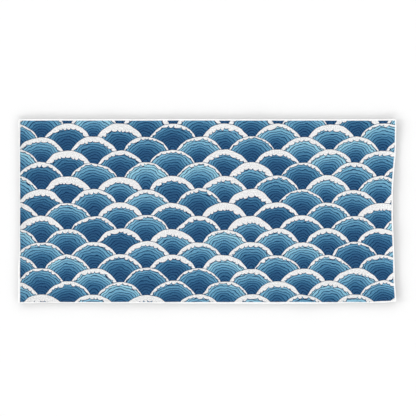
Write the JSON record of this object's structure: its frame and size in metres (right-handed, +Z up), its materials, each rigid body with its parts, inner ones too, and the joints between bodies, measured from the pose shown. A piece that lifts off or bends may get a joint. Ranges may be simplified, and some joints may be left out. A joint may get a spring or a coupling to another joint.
{
  "type": "beach towel",
  "caption": "Thin rectangular beach towel with an all-over printed face and a narrow white hem, lying flat, for drying off and lying on.",
  "frame": {"origin": "on the floor plane, under the middle of the towel's box", "axes": "+X along the length towards the end that lies unevenly, +Y across the width, +Z up out of the printed face"},
  "size_m": [1.524, 0.7447, 0.0102],
  "materials": {
    "printed_cloth": "matt terry velour, printed in blues on white, with a white hem and back"
  },
  "bodies": {
    "root": {"towel": "printed_cloth"}
  },
  "joints": []
}
